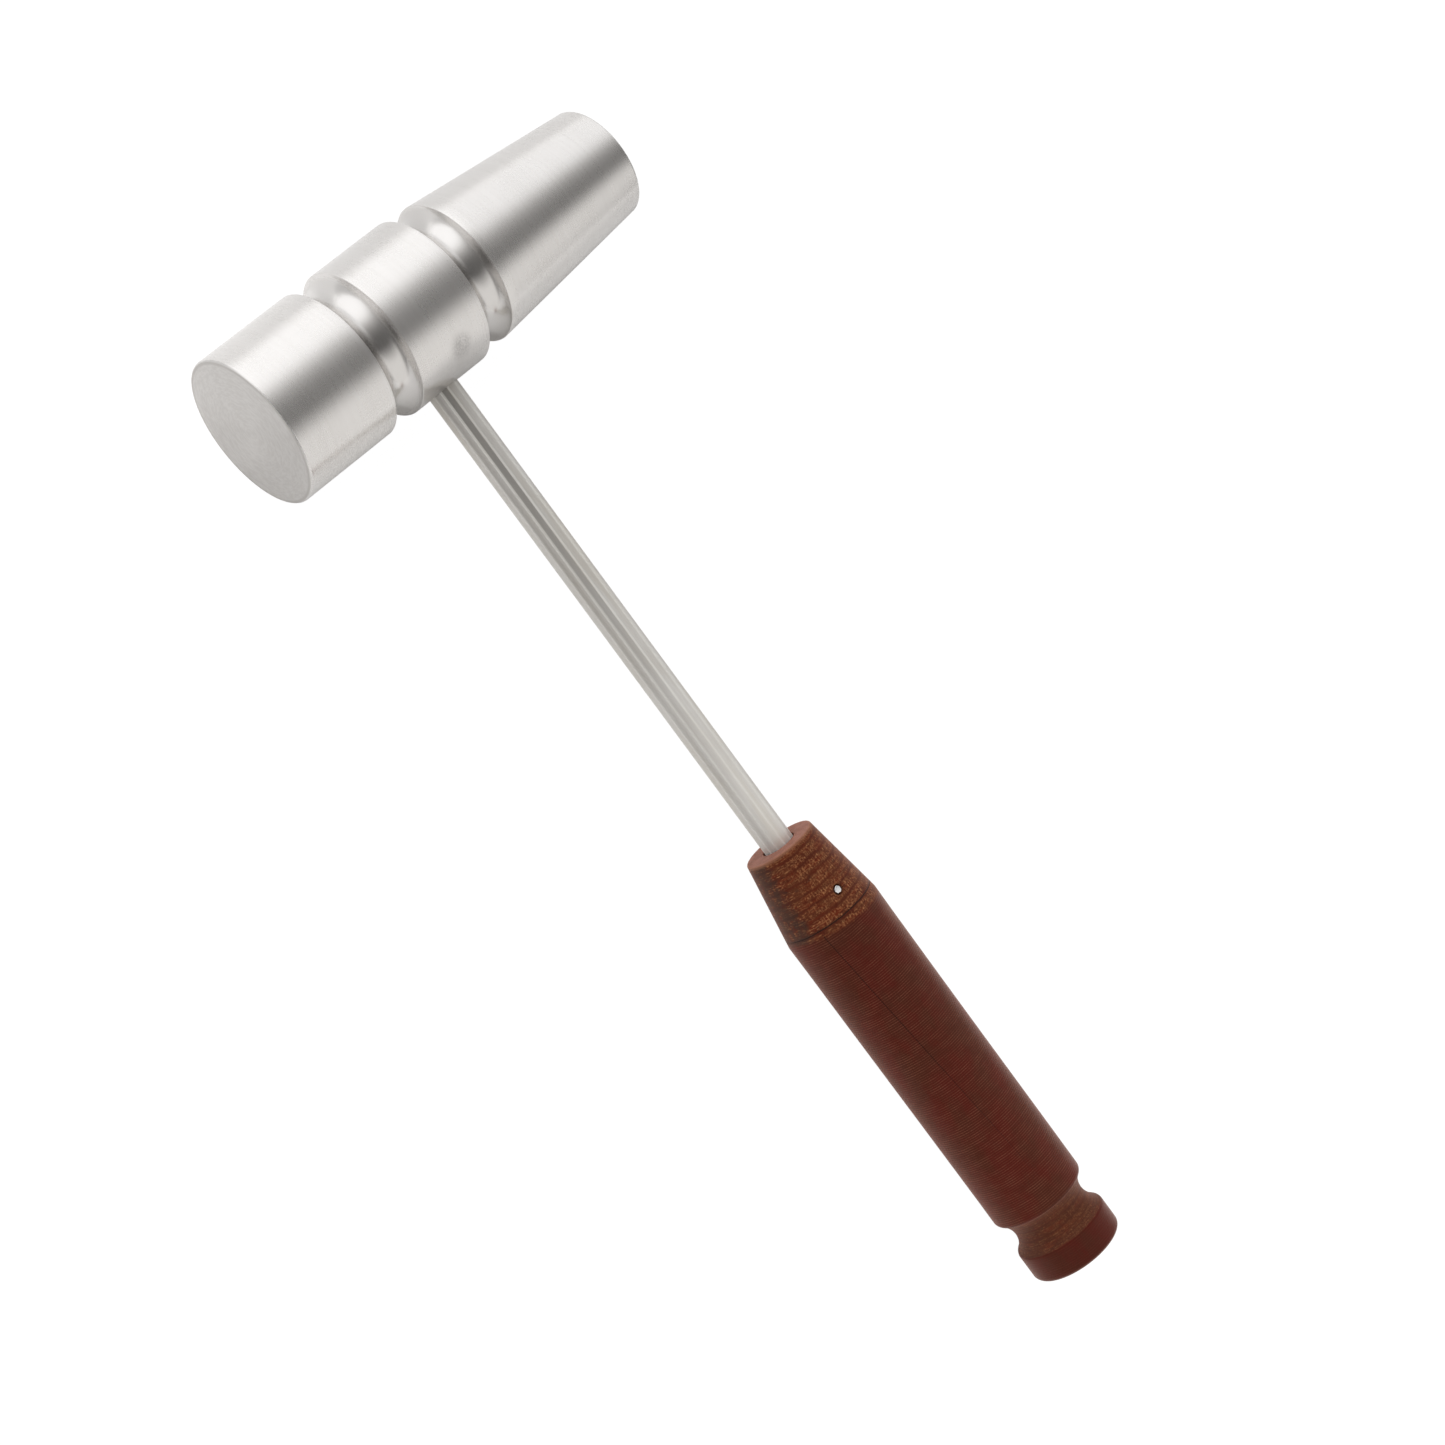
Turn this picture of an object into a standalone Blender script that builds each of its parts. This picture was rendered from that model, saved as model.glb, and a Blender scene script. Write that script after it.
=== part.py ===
"""Surgical mallet: solid steel head, fluted steel shaft and turned handle of cloth laminate.

Units are metres. +X runs from the head to the end of the handle, +Y from the large striking
face to the small one, and +Z is up as the mallet lies on its side. The design is laid out
from the point where the head's axis crosses the shaft's; an empty then carries it to a frame
whose origin is the middle of the bottom of its bounding box.
"""

import math

import bmesh
import bpy
from mathutils import Vector

MM = 0.001

# Head, as stations along its axis from the large striking face
HEAD_RADIUS = 15.0 * MM
FACE_EDGE = 0.6 * MM
FRONT_LENGTH = 20.75 * MM
FRONT_COVE = 6.5 * MM
BARREL_LENGTH = 16.75 * MM
REAR_COVE = 6.2 * MM
TAPER_LENGTH = 37.3 * MM
SMALL_FACE_RADIUS = 11.05 * MM
SHAFT_STATION = 34.8 * MM
COVE_DEPTH = 2.9 * MM
EDGE_BREAK = 0.2 * MM

# Shaft, along +X from the head's axis
SHAFT_RADIUS = 3.15 * MM
FLUTES = 12
FLUTE_DEPTH = 0.16 * MM
FLUTE_LAND = math.radians(3.0)
FLUTE_PHASE = math.radians(-8.5)
TENON_RADIUS = 2.3 * MM
TENON_DEPTH = 12.7 * MM
SEAT_DEPTH = 1.5 * MM
TANG_CHAMFER = 0.5 * MM

# Handle, along +X from the head's axis
HANDLE_START = 118.15 * MM
HANDLE_LENGTH = 98.0 * MM
NOSE_RADIUS = 7.15 * MM
NOSE_EDGE = 0.35 * MM
MOUTH_EDGE = 0.1 * MM
CONE_LENGTH = 17.2 * MM
GRIP_RADIUS_FRONT = 9.8 * MM
GRIP_RADIUS_REAR = 9.66 * MM
KNOB_RADIUS = 9.52 * MM
GRIP_END = 84.8 * MM
GRIP_END_ROUND = 1.1 * MM
GROOVE_LENGTH = 6.7 * MM
GROOVE_DEPTH = 2.05 * MM
GROOVE_LEAD = math.radians(35.0)
KNOB_FRONT_ROUND = 0.9 * MM
KNOB_END_ROUND = 1.1 * MM
FLUTED_IN_HANDLE = 5.0 * MM
TANG_DEPTH = 46.0 * MM
BORE_RELIEF = 1.0 * MM

# Cross pin and adhesive
PIN_RADIUS = 0.8 * MM
PIN_STATION = 11.5 * MM
PIN_CHAMFER = 0.12 * MM
BOND_START = 15.0 * MM
BOND_LENGTH = 30.0 * MM

# Clearance between pieces, and how far a cutter reaches past the surface it opens
GAP = 0.3 * MM
HEAD_CUT_OVERRUN = 2.0 * MM
PIN_CUT_OVERRUN = 5.0 * MM

# How finely curves are divided
TURNED_STEPS = 64
BORE_STEPS = 40
FLUTE_STEPS = 6
FACE_STEPS = 5
EDGE_STEPS = 2
END_STEPS = 4
COVE_STEPS = 10
GRIP_STEPS = 4
SHARP_ANGLE = math.radians(32.0)

# Sizes that follow from the ones above
HEAD_LENGTH = FRONT_LENGTH + FRONT_COVE + BARREL_LENGTH + REAR_COVE + TAPER_LENGTH
MOUTH_RADIUS = SHAFT_RADIUS + GAP
HANDLE_END = HANDLE_START + HANDLE_LENGTH
PIN_X = HANDLE_START + PIN_STATION
CONE_SLOPE = (GRIP_RADIUS_FRONT - NOSE_RADIUS) / CONE_LENGTH
PIN_HALF_LENGTH = NOSE_RADIUS + CONE_SLOPE * (PIN_STATION - PIN_RADIUS)


def clear_scene():
    for old in list(bpy.data.objects):
        bpy.data.objects.remove(old, do_unlink=True)


def material(name, colour, roughness, metallic):
    made = bpy.data.materials.new(name)
    made.use_nodes = True
    shader = made.node_tree.nodes["Principled BSDF"]
    shader.inputs["Base Color"].default_value = (*colour, 1.0)
    shader.inputs["Roughness"].default_value = roughness
    shader.inputs["Metallic"].default_value = metallic
    return made


def arc(centre, radius, start, end, steps):
    """Points (station, radius) on an arc; angles run from +station towards +radius."""
    points = []
    for i in range(steps + 1):
        angle = start + (end - start) * i / steps
        points.append((centre[0] + radius * math.cos(angle), centre[1] + radius * math.sin(angle)))
    return points


def cove(start, end, depth, steps):
    """Points of the circular hollow of the given depth from one rim point to the other."""
    chord = Vector(end) - Vector(start)
    inward = Vector((chord.y, -chord.x)).normalized()
    radius = (chord.length_squared / 4 + depth * depth) / (2 * depth)
    centre = (Vector(start) + Vector(end)) / 2 + inward * (depth - radius)
    half = math.asin(min(1.0, chord.length / 2 / radius))
    middle = math.atan2(inward.y, inward.x)
    return arc(centre, radius, middle - half, middle + half, steps)


def circle(radius, count):
    """Points (y, z) of a circle, counted from +Z towards +Y."""
    turns = [2 * math.pi * i / count for i in range(count)]
    return [(radius * math.sin(a), radius * math.cos(a)) for a in turns]


def loft(name, rings, finish, sleeve=False):
    """Closed body through rings of equal count: capped flat at both ends, or a sleeve whose
    last ring runs back into the first."""
    mesh = bpy.data.meshes.new(name)
    bm = bmesh.new()
    loops = [[bm.verts.new(point) for point in ring] for ring in rings]
    following = loops[1:] + loops[:1] if sleeve else loops[1:]
    for first, second in zip(loops, following):
        count = len(first)
        for i in range(count):
            j = (i + 1) % count
            bm.faces.new((first[i], first[j], second[j], second[i]))
    if not sleeve:
        bm.faces.new(loops[0])
        bm.faces.new(loops[-1])
    bmesh.ops.recalc_face_normals(bm, faces=bm.faces)
    bm.to_mesh(mesh)
    bm.free()
    mesh.shade_smooth()
    mesh.set_sharp_from_angle(angle=SHARP_ANGLE)
    mesh.materials.append(finish)
    made = bpy.data.objects.new(name, mesh)
    bpy.context.scene.collection.objects.link(made)
    return made


def turned(name, profile, steps, finish, sleeve=False):
    """Body turned about its own X axis from (station, radius) points."""
    rings = [[(x, y, z) for y, z in circle(radius, steps)] for x, radius in profile]
    return loft(name, rings, finish, sleeve)


def cut(target, cutter):
    """Boolean difference; the cutter stays as a guide that is never rendered."""
    cutter.hide_render = True
    cutter.display_type = "WIRE"
    modifier = target.modifiers.new("cut_" + cutter.name, "BOOLEAN")
    modifier.operation = "DIFFERENCE"
    modifier.solver = "EXACT"
    modifier.object = cutter


def head_profile():
    """Outline of the turned head from the large face to the small one."""
    radius = HEAD_RADIUS
    rim = radius - EDGE_BREAK
    face_centre = (FACE_EDGE, radius - FACE_EDGE)
    points = arc(face_centre, FACE_EDGE, math.pi, math.pi / 2, FACE_STEPS)

    station = FRONT_LENGTH
    points += arc((station - EDGE_BREAK, rim), EDGE_BREAK, math.pi / 2, 0, EDGE_STEPS)
    barrel_start = station + FRONT_COVE
    points += cove((station, rim), (barrel_start, rim), COVE_DEPTH - EDGE_BREAK, COVE_STEPS)[1:-1]

    points += arc((barrel_start + EDGE_BREAK, rim), EDGE_BREAK, math.pi, math.pi / 2, EDGE_STEPS)

    station = barrel_start + BARREL_LENGTH
    points += arc((station - EDGE_BREAK, rim), EDGE_BREAK, math.pi / 2, 0, EDGE_STEPS)

    slope = (HEAD_RADIUS - SMALL_FACE_RADIUS) / (HEAD_LENGTH - station)
    taper_start = station + REAR_COVE
    taper_rim = HEAD_RADIUS - slope * REAR_COVE - EDGE_BREAK
    rear_depth = COVE_DEPTH - EDGE_BREAK
    points += cove((station, rim), (taper_start, taper_rim), rear_depth, COVE_STEPS)[1:-1]
    taper_edge = (taper_start + EDGE_BREAK, taper_rim)
    points += arc(taper_edge, EDGE_BREAK, math.pi, math.pi / 2, EDGE_STEPS)

    end_centre = (HEAD_LENGTH - FACE_EDGE, SMALL_FACE_RADIUS - FACE_EDGE + slope * FACE_EDGE)
    points += arc(end_centre, FACE_EDGE, math.pi / 2, 0, EDGE_STEPS)
    return points


def make_head(finish):
    head = turned("head", head_profile(), TURNED_STEPS, finish)
    head.rotation_euler = (0.0, 0.0, math.pi / 2)
    head.location = (0.0, -SHAFT_STATION, 0.0)
    seat = HEAD_RADIUS - SEAT_DEPTH - GAP
    bottom = HEAD_RADIUS - SEAT_DEPTH - TENON_DEPTH - GAP
    outside = HEAD_RADIUS + HEAD_CUT_OVERRUN
    tenon_bore = TENON_RADIUS + GAP
    bore_profile = [
        (bottom, tenon_bore),
        (seat, tenon_bore),
        (seat, MOUTH_RADIUS),
        (outside, MOUTH_RADIUS),
    ]
    bore = turned("head_bore_cutter", bore_profile, BORE_STEPS, finish)
    cut(head, bore)
    return head, bore


def flute_section():
    """Points (y, z) of the fluted bar: shallow hollows between narrow rounded ridges."""
    pitch = 2 * math.pi / FLUTES
    alpha = (pitch - FLUTE_LAND) / 2
    floor = SHAFT_RADIUS - FLUTE_DEPTH
    spread = (SHAFT_RADIUS**2 - floor**2) / (2 * (SHAFT_RADIUS * math.cos(alpha) - floor))
    hollow = spread - floor
    half = math.asin(SHAFT_RADIUS * math.sin(alpha) / hollow)
    points = []
    for k in range(FLUTES):
        middle = FLUTE_PHASE + (k + 0.5) * pitch
        for i in range(FLUTE_STEPS + 1):
            sweep = -half + 2 * half * i / FLUTE_STEPS
            along = spread - hollow * math.cos(sweep)
            across = hollow * math.sin(sweep)
            y = along * math.sin(middle) + across * math.cos(middle)
            z = along * math.cos(middle) - across * math.sin(middle)
            points.append((y, z))
    return points


def make_shaft(finish, pin_hole):
    """Fluted bar with a round tenon in the head and a round tang in the handle."""
    section = flute_section()
    turns = [math.atan2(y, z) for y, z in section]
    shoulder = HEAD_RADIUS - SEAT_DEPTH
    fluted_end = HANDLE_START + FLUTED_IN_HANDLE
    tang_end = HANDLE_START + TANG_DEPTH

    def round_ring(x, radius):
        return [(x, radius * math.sin(a), radius * math.cos(a)) for a in turns]

    def fluted_ring(x):
        return [(x, y, z) for y, z in section]

    rings = [
        round_ring(shoulder - TENON_DEPTH, TENON_RADIUS - TANG_CHAMFER),
        round_ring(shoulder - TENON_DEPTH + TANG_CHAMFER, TENON_RADIUS),
        round_ring(shoulder, TENON_RADIUS),
        fluted_ring(shoulder),
        fluted_ring(fluted_end),
        round_ring(fluted_end, TENON_RADIUS),
        round_ring(tang_end - TANG_CHAMFER, TENON_RADIUS),
        round_ring(tang_end, TENON_RADIUS - TANG_CHAMFER),
    ]
    shaft = loft("shaft", rings, finish)
    cut(shaft, pin_hole)
    return shaft


def handle_profile():
    """Outline of the handle from the floor of its bore round to its end face."""
    bore_floor = HANDLE_START + TANG_DEPTH + BORE_RELIEF
    points = [
        (bore_floor, MOUTH_RADIUS),
        (HANDLE_START + MOUTH_EDGE, MOUTH_RADIUS),
        (HANDLE_START, MOUTH_RADIUS + MOUTH_EDGE),
    ]
    nose_centre = (HANDLE_START + NOSE_EDGE, NOSE_RADIUS - NOSE_EDGE)
    points += arc(nose_centre, NOSE_EDGE, math.pi, math.pi / 2, EDGE_STEPS)

    # The grip tapers a little from the end of the cone to the groove.
    grip_start = HANDLE_START + CONE_LENGTH
    grip_end = HANDLE_START + GRIP_END
    for i in range(GRIP_STEPS):
        along = i / GRIP_STEPS
        x = grip_start + (grip_end - GRIP_END_ROUND - grip_start) * along
        points.append((x, GRIP_RADIUS_FRONT + (GRIP_RADIUS_REAR - GRIP_RADIUS_FRONT) * along))
    round_centre = (grip_end - GRIP_END_ROUND, GRIP_RADIUS_REAR - GRIP_END_ROUND)
    points += arc(round_centre, GRIP_END_ROUND, math.pi / 2, GROOVE_LEAD, END_STEPS)

    knob_start = grip_end + GROOVE_LENGTH
    knob_centre = (knob_start + KNOB_FRONT_ROUND, KNOB_RADIUS - KNOB_FRONT_ROUND)
    knob_lead = math.pi - GROOVE_LEAD
    knob_round = arc(knob_centre, KNOB_FRONT_ROUND, knob_lead, math.pi / 2, EDGE_STEPS)
    floor_radius = GRIP_RADIUS_REAR - GROOVE_DEPTH
    depth = (points[-1][1] + knob_round[0][1]) / 2 - floor_radius
    points += cove(points[-1], knob_round[0], depth, COVE_STEPS)[1:-1]
    points += knob_round

    end_centre = (HANDLE_END - KNOB_END_ROUND, KNOB_RADIUS - KNOB_END_ROUND)
    points += arc(end_centre, KNOB_END_ROUND, math.pi / 2, 0, END_STEPS)
    return points


def make_handle(finish, pin_hole):
    handle = turned("handle", handle_profile(), TURNED_STEPS, finish)
    cut(handle, pin_hole)
    return handle


def make_pin_hole(finish):
    """Guide for the hole drilled through handle and tang, along Z."""
    half = NOSE_RADIUS + PIN_CUT_OVERRUN
    radius = PIN_RADIUS + GAP
    hole = turned("pin_hole_cutter", [(-half, radius), (half, radius)], BORE_STEPS, finish)
    hole.rotation_euler = (0.0, -math.pi / 2, 0.0)
    hole.location = (PIN_X, 0.0, 0.0)
    return hole


def make_pin(finish):
    half = PIN_HALF_LENGTH
    flat = PIN_RADIUS - PIN_CHAMFER
    profile = [
        (-half, flat),
        (-half + PIN_CHAMFER, PIN_RADIUS),
        (half - PIN_CHAMFER, PIN_RADIUS),
        (half, flat),
    ]
    pin = turned("cross_pin", profile, BORE_STEPS, finish)
    pin.rotation_euler = (0.0, -math.pi / 2, 0.0)
    pin.location = (PIN_X, 0.0, 0.0)
    return pin


def make_bond(finish):
    """Sleeve of set adhesive between the tang and the wall of the handle's bore."""
    start = HANDLE_START + BOND_START
    end = start + BOND_LENGTH
    inner = TENON_RADIUS + GAP
    outer = MOUTH_RADIUS - GAP
    profile = [(start, inner), (start, outer), (end, outer), (end, inner)]
    return turned("tang_bond", profile, BORE_STEPS, finish, sleeve=True)


def main():
    clear_scene()
    satin_steel = material("satin_steel", (0.62, 0.61, 0.59), 0.32, 1.0)
    drawn_steel = material("drawn_steel", (0.58, 0.56, 0.53), 0.36, 1.0)
    pin_steel = material("pin_steel", (0.80, 0.80, 0.80), 0.28, 1.0)
    laminate = material("cloth_laminate", (0.13, 0.035, 0.02), 0.55, 0.0)
    adhesive = material("adhesive", (0.25, 0.20, 0.12), 0.45, 0.0)

    pin_hole = make_pin_hole(laminate)
    head, head_bore = make_head(satin_steel)
    pieces = [
        head,
        head_bore,
        pin_hole,
        make_shaft(drawn_steel, pin_hole),
        make_handle(laminate, pin_hole),
        make_pin(pin_steel),
        make_bond(adhesive),
    ]

    frame = bpy.data.objects.new("mallet_frame", None)
    bpy.context.scene.collection.objects.link(frame)
    frame.location = (
        (HEAD_RADIUS - HANDLE_END) / 2,
        SHAFT_STATION - HEAD_LENGTH / 2,
        HEAD_RADIUS,
    )
    for piece in pieces:
        piece.parent = frame


main()
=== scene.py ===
"""Surgical mallet: turned satin steel head, fluted steel shaft, handle of rolled cloth laminate.

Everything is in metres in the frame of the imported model: +X runs from the head to the end of
the handle, +Y from the large striking face to the small one, and +Z is up.
"""

import math
import random

import bmesh
import bpy
from mathutils import Matrix, Vector


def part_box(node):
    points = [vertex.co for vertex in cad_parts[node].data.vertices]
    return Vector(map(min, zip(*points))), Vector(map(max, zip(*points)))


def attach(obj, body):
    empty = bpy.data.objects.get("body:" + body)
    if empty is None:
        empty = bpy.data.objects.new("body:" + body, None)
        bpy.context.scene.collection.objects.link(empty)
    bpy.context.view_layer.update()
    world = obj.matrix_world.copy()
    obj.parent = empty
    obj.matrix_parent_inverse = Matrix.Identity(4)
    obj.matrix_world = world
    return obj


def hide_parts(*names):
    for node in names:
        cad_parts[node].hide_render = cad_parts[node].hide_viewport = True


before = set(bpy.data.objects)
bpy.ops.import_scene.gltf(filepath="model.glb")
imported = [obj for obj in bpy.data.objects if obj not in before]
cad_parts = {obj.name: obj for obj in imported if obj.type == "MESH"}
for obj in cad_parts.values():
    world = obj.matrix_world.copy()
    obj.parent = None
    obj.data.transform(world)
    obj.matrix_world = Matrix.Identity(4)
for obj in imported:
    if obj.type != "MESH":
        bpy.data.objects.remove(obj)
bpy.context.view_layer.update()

MM = 0.001
random.seed(11)

# ---------------------------------------------------------------- places taken from the frame

head_low, head_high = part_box("head")
grip_low, grip_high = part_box("handle")
shaft_low, shaft_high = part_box("shaft")
pin_low, pin_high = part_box("cross_pin")

HEAD_X = (head_low.x + head_high.x) / 2
HEAD_Z = (head_low.z + head_high.z) / 2
HEAD_RADIUS = (head_high.x - head_low.x) / 2
HEAD_LENGTH = head_high.y - head_low.y
SHAFT_Y = (grip_low.y + grip_high.y) / 2
SHAFT_Z = (grip_low.z + grip_high.z) / 2
HANDLE_START = grip_low.x
HANDLE_LENGTH = grip_high.x - grip_low.x
GRIP_RADIUS = (grip_high.y - grip_low.y) / 2
PIN_X = (pin_low.x + pin_high.x) / 2
PIN_RADIUS = (pin_high.x - pin_low.x) / 2
PIN_HALF = (pin_high.z - pin_low.z) / 2

# ---------------------------------------------------------------- details of the turned shapes

FACE_EDGE = 0.6 * MM
FRONT_LENGTH = 20.75 * MM
FRONT_COVE = 6.5 * MM
BARREL_LENGTH = 16.75 * MM
REAR_COVE = 6.2 * MM
SMALL_FACE_RADIUS = 11.05 * MM
COVE_DEPTH = 2.9 * MM
EDGE_BREAK = 0.2 * MM

BORE_PAST_SEAT = 0.3 * MM
BORE_PLAY = 0.12 * MM
BORE_LIP = 0.35 * MM
BORE_FLARE = 0.9 * MM

SHAFT_RADIUS = 3.15 * MM
FLUTES = 12
FLUTE_DEPTH = 0.16 * MM
FLUTE_LAND = math.radians(3.0)
FLUTE_PHASE = math.radians(-8.5)
SEAT_DEPTH = 1.5 * MM
TANG_RADIUS = 2.3 * MM
TANG_CHAMFER = 0.5 * MM
FLUTED_IN_HANDLE = 5.0 * MM

NOSE_RADIUS = 7.15 * MM
NOSE_EDGE = 0.35 * MM
MOUTH_RADIUS = 3.45 * MM
MOUTH_EDGE = 0.1 * MM
MOUTH_DEPTH = 12.0 * MM
CONE_LENGTH = 17.2 * MM
GRIP_END = 84.8 * MM
GRIP_RADIUS_REAR = 9.66 * MM
GRIP_END_ROUND = 1.1 * MM
GROOVE_LENGTH = 6.7 * MM
GROOVE_DEPTH = 2.05 * MM
GROOVE_LEAD = math.radians(35.0)
KNOB_RADIUS = 9.52 * MM
KNOB_FRONT_ROUND = 0.9 * MM
KNOB_END_ROUND = 1.1 * MM
PLY = 0.37 * MM
PLY_EDGE = 15.5 * MM
THREAD_PITCH = 0.46 * MM
THREADS_ROUND = 100
SEAM_START = math.radians(-46.0)
SEAM_END = math.radians(-12.0)
SEAM_FADE = 78.0 * MM
SEAM_HALF_TURN = 0.0125
SEAM_DEPTH = 0.09 * MM
SHEET_EDGE_LIFT = 0.05 * MM
SHEET_EDGE_SPREAD = 0.35
GRIP_SWELL = 0.045 * MM
GRIP_SWELL_FADE = 6.0 * MM

PIN_HOLE_PLAY = 0.26 * MM
PIN_CROWN = 0.12 * MM

# Fineness of the meshes
HEAD_STEPS = 256
BORE_STEPS = 96
PIN_STEPS = 48
FLUTE_STEPS = 14
SHAFT_RINGS = 60
GRIP_STEPS = 236
COVE_STEPS = 30
SLIVER = 0.002 * MM

# Camera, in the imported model's frame
CAMERA_PLACE = Vector((-135.74, -277.36, 560.45)) * MM
CAMERA_RIGHT = Vector((0.58226, 0.67125, 0.45868))
CAMERA_UP = Vector((-0.79066, 0.59889, 0.12725))
CAMERA_LENS = 85.05
CAMERA_SHIFT = (0.0341, -0.0287)


# ---------------------------------------------------------------- mesh helpers


def arc(centre, radius, start, end, steps):
    """Points (station, radius) on an arc; angles run from +station towards +radius."""
    points = []
    for i in range(steps + 1):
        angle = start + (end - start) * i / steps
        points.append((centre[0] + radius * math.cos(angle), centre[1] + radius * math.sin(angle)))
    return points


def cove(start, end, depth, steps):
    """Points of the circular hollow of the given depth from one rim point to the other."""
    chord = Vector(end) - Vector(start)
    inward = Vector((chord.y, -chord.x)).normalized()
    radius = (chord.length_squared / 4 + depth * depth) / (2 * depth)
    centre = (Vector(start) + Vector(end)) / 2 + inward * (depth - radius)
    half = math.asin(min(1.0, chord.length / 2 / radius))
    middle = math.atan2(inward.y, inward.x)
    return arc(centre, radius, middle - half, middle + half, steps)


def stations(start, end, spacing):
    """Points (station, radius) from start up to, but not including, end."""
    count = max(1, round((Vector(end) - Vector(start)).length / spacing))
    first, last = Vector(start), Vector(end)
    return [tuple(first.lerp(last, i / count)) for i in range(count)]


def skin(name, rings, finish, sharp, caps=True):
    """Body through rings of equal count, closed flat at both ends."""
    mesh = bpy.data.meshes.new(name)
    bm = bmesh.new()
    loops = [[bm.verts.new(point) for point in ring] for ring in rings]
    for first, second in zip(loops, loops[1:]):
        count = len(first)
        for i in range(count):
            j = (i + 1) % count
            bm.faces.new((first[i], first[j], second[j], second[i]))
    if caps:
        bm.faces.new(loops[0])
        bm.faces.new(loops[-1])
    bmesh.ops.recalc_face_normals(bm, faces=bm.faces)
    bm.to_mesh(mesh)
    bm.free()
    mesh.shade_smooth()
    mesh.set_sharp_from_angle(angle=sharp)
    mesh.materials.append(finish)
    made = bpy.data.objects.new(name, mesh)
    bpy.context.scene.collection.objects.link(made)
    return made


def turns_of(steps):
    return [2 * math.pi * i / steps for i in range(steps)]


def head_ring(y, radius):
    """Circle about the head's axis."""
    turns = turns_of(HEAD_STEPS)
    return [(HEAD_X + radius * math.sin(a), head_low.y + y, HEAD_Z + radius * math.cos(a)) for a in turns]


def shaft_ring(x, radius, turns):
    """Circle about the axis of the shaft and the handle."""
    return [(x, SHAFT_Y + radius * math.sin(a), SHAFT_Z + radius * math.cos(a)) for a in turns]


def pin_ring(z, radius):
    """Circle about the pin's axis; its radius may differ from point to point."""
    turns = turns_of(PIN_STEPS)
    radii = radius if isinstance(radius, list) else [radius] * PIN_STEPS
    return [(PIN_X + r * math.cos(a), SHAFT_Y + r * math.sin(a), SHAFT_Z + z) for r, a in zip(radii, turns)]


def cut_away(made, cutter):
    """Takes the cutter's volume out of the mesh, clears slivers and removes the cutter."""
    modifier = made.modifiers.new("cut", "BOOLEAN")
    modifier.operation = "DIFFERENCE"
    modifier.solver = "EXACT"
    modifier.object = cutter
    graph = bpy.context.evaluated_depsgraph_get()
    mesh = bpy.data.meshes.new_from_object(made.evaluated_get(graph))
    made.modifiers.clear()
    bm = bmesh.new()
    bm.from_mesh(mesh)
    bmesh.ops.dissolve_degenerate(bm, dist=SLIVER, edges=bm.edges[:])
    bm.to_mesh(mesh)
    bm.free()
    made.data = mesh
    bpy.data.objects.remove(cutter, do_unlink=True)


# ---------------------------------------------------------------- node helpers


class Field:
    """A number that varies over a surface; arithmetic on it makes Math nodes."""

    def __init__(self, tree, socket):
        self.tree = tree
        self.socket = socket

    def op(self, kind, *others):
        node = self.tree.nodes.new("ShaderNodeMath")
        node.operation = kind
        for slot, value in zip(node.inputs, (self, *others)):
            if isinstance(value, Field):
                self.tree.links.new(value.socket, slot)
            else:
                slot.default_value = value
        return Field(self.tree, node.outputs[0])

    def __add__(self, other):
        return self.op("ADD", other)

    def __sub__(self, other):
        return self.op("SUBTRACT", other)

    def __mul__(self, other):
        return self.op("MULTIPLY", other)

    def __truediv__(self, other):
        return self.op("DIVIDE", other)

    def flip(self):
        return (self * -1.0) + 1.0

    def step(self, low, high):
        """Smooth rise from 0 at low to 1 at high; a fall when high is the smaller."""
        if high < low:
            return self.step(high, low).flip()
        node = self.tree.nodes.new("ShaderNodeMapRange")
        node.interpolation_type = "SMOOTHSTEP"
        self.tree.links.new(self.socket, node.inputs["Value"])
        node.inputs["From Min"].default_value = low
        node.inputs["From Max"].default_value = high
        return Field(self.tree, node.outputs["Result"])


def place(tree, centre):
    """The three coordinates of a point in millimetres from centre."""
    source = tree.nodes.new("ShaderNodeTexCoord")
    split = tree.nodes.new("ShaderNodeSeparateXYZ")
    tree.links.new(source.outputs["Object"], split.inputs[0])
    parts = []
    for socket, middle in zip(split.outputs, centre):
        parts.append((Field(tree, socket) - middle) / MM)
    return parts


def vector(tree, x, y, z):
    node = tree.nodes.new("ShaderNodeCombineXYZ")
    for slot, value in zip(node.inputs, (x, y, z)):
        if isinstance(value, Field):
            tree.links.new(value.socket, slot)
        else:
            slot.default_value = value
    return node.outputs[0]


def noise(tree, coordinates, scale, detail=2.0, rough=0.5):
    node = tree.nodes.new("ShaderNodeTexNoise")
    tree.links.new(coordinates, node.inputs["Vector"])
    node.inputs["Scale"].default_value = scale
    node.inputs["Detail"].default_value = detail
    node.inputs["Roughness"].default_value = rough
    return Field(tree, node.outputs[0])


def blend(tree, factor, first, second):
    """Colour between first and second, each a colour or a socket."""
    node = tree.nodes.new("ShaderNodeMix")
    node.data_type = "RGBA"
    tree.links.new(factor.socket, node.inputs[0])
    for slot, value in ((node.inputs[6], first), (node.inputs[7], second)):
        if isinstance(value, tuple):
            slot.default_value = (*value, 1.0)
        else:
            tree.links.new(value, slot)
    return node.outputs[2]


def new_material(name):
    made = bpy.data.materials.new(name)
    made.use_nodes = True
    return made, made.node_tree, made.node_tree.nodes["Principled BSDF"]


def relief(tree, shader, height, distance):
    """Bump from a height field whose unit is distance."""
    node = tree.nodes.new("ShaderNodeBump")
    node.inputs["Distance"].default_value = distance
    tree.links.new(height.socket, node.inputs["Height"])
    tree.links.new(node.outputs[0], shader.inputs["Normal"])


# ---------------------------------------------------------------- steels


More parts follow.
